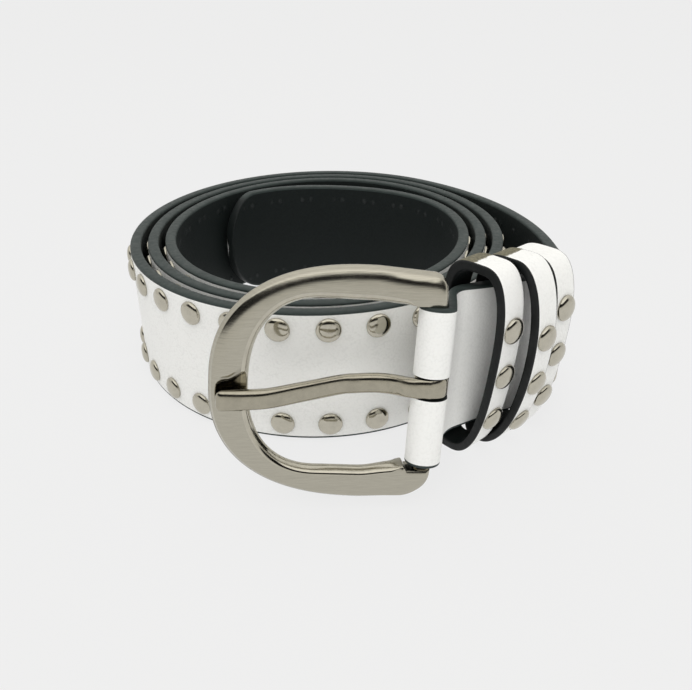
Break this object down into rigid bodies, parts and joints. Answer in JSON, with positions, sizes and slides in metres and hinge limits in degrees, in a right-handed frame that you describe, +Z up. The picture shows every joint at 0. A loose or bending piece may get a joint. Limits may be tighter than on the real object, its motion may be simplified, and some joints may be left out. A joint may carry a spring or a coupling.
{
  "type": "studded belt",
  "caption": "Leather belt with domed metal studs, rolled up on its edge, with a D-shaped buckle, its prong and leather keeper loops.",
  "frame": {"origin": "middle of the rolled belt's footprint, on the surface that it stands on", "axes": "+Z up, across the strap's width; -Y toward the side that the buckle faces; +X from the coil toward the keepers"},
  "size_m": [0.1356, 0.1654, 0.0566],
  "materials": {
    "strap_leather": "white face with a fine pebble grain, grey painted edges, near-black back",
    "keeper_leather": "white smooth face, dark painted edges",
    "satin_nickel": "satin warm nickel with polished edges",
    "bright_nickel": "polished warm nickel"
  },
  "bodies": {
    "belt": {"strap": "strap_leather", "stud_top_1": "bright_nickel", "stud_top_2": "bright_nickel", "stud_top_3": "bright_nickel", "stud_top_4": "bright_nickel", "stud_top_5": "bright_nickel", "stud_top_6": "bright_nickel", "stud_top_7": "bright_nickel", "stud_top_8": "bright_nickel", "stud_top_9": "bright_nickel", "stud_top_10": "bright_nickel", "stud_bottom_1": "bright_nickel", "stud_bottom_2": "bright_nickel", "stud_bottom_3": "bright_nickel", "stud_bottom_4": "bright_nickel", "stud_bottom_5": "bright_nickel", "stud_bottom_6": "bright_nickel", "stud_bottom_7": "bright_nickel", "stud_bottom_8": "bright_nickel", "stud_bottom_9": "bright_nickel", "stud_bottom_10": "bright_nickel", "keeper_near_buckle": "keeper_leather", "keeper_middle": "keeper_leather", "keeper_far": "keeper_leather", "stud_near_buckle_1": "bright_nickel", "stud_near_buckle_2": "bright_nickel", "stud_near_buckle_3": "bright_nickel", "stud_middle_1": "bright_nickel", "stud_middle_2": "bright_nickel", "stud_middle_3": "bright_nickel", "stud_far_1": "bright_nickel", "stud_far_2": "bright_nickel", "stud_far_3": "bright_nickel"},
    "buckle": {"buckle_frame": "satin_nickel"},
    "prong": {"buckle_prong": "bright_nickel"}
  },
  "joints": [
    {"name": "buckle_swing", "type": "hinge", "parent": "belt", "child": "buckle", "pos_m": [0.02124, -0.0732, 0.02771], "axis": [0.0767, 0.2175, 0.973], "range_deg": [0, 90]},
    {"name": "prong_swing", "type": "hinge", "parent": "buckle", "child": "prong", "pos_m": [0.02124, -0.0732, 0.02771], "axis": [0.0767, 0.2175, 0.973], "range_deg": [0, 75]}
  ]
}
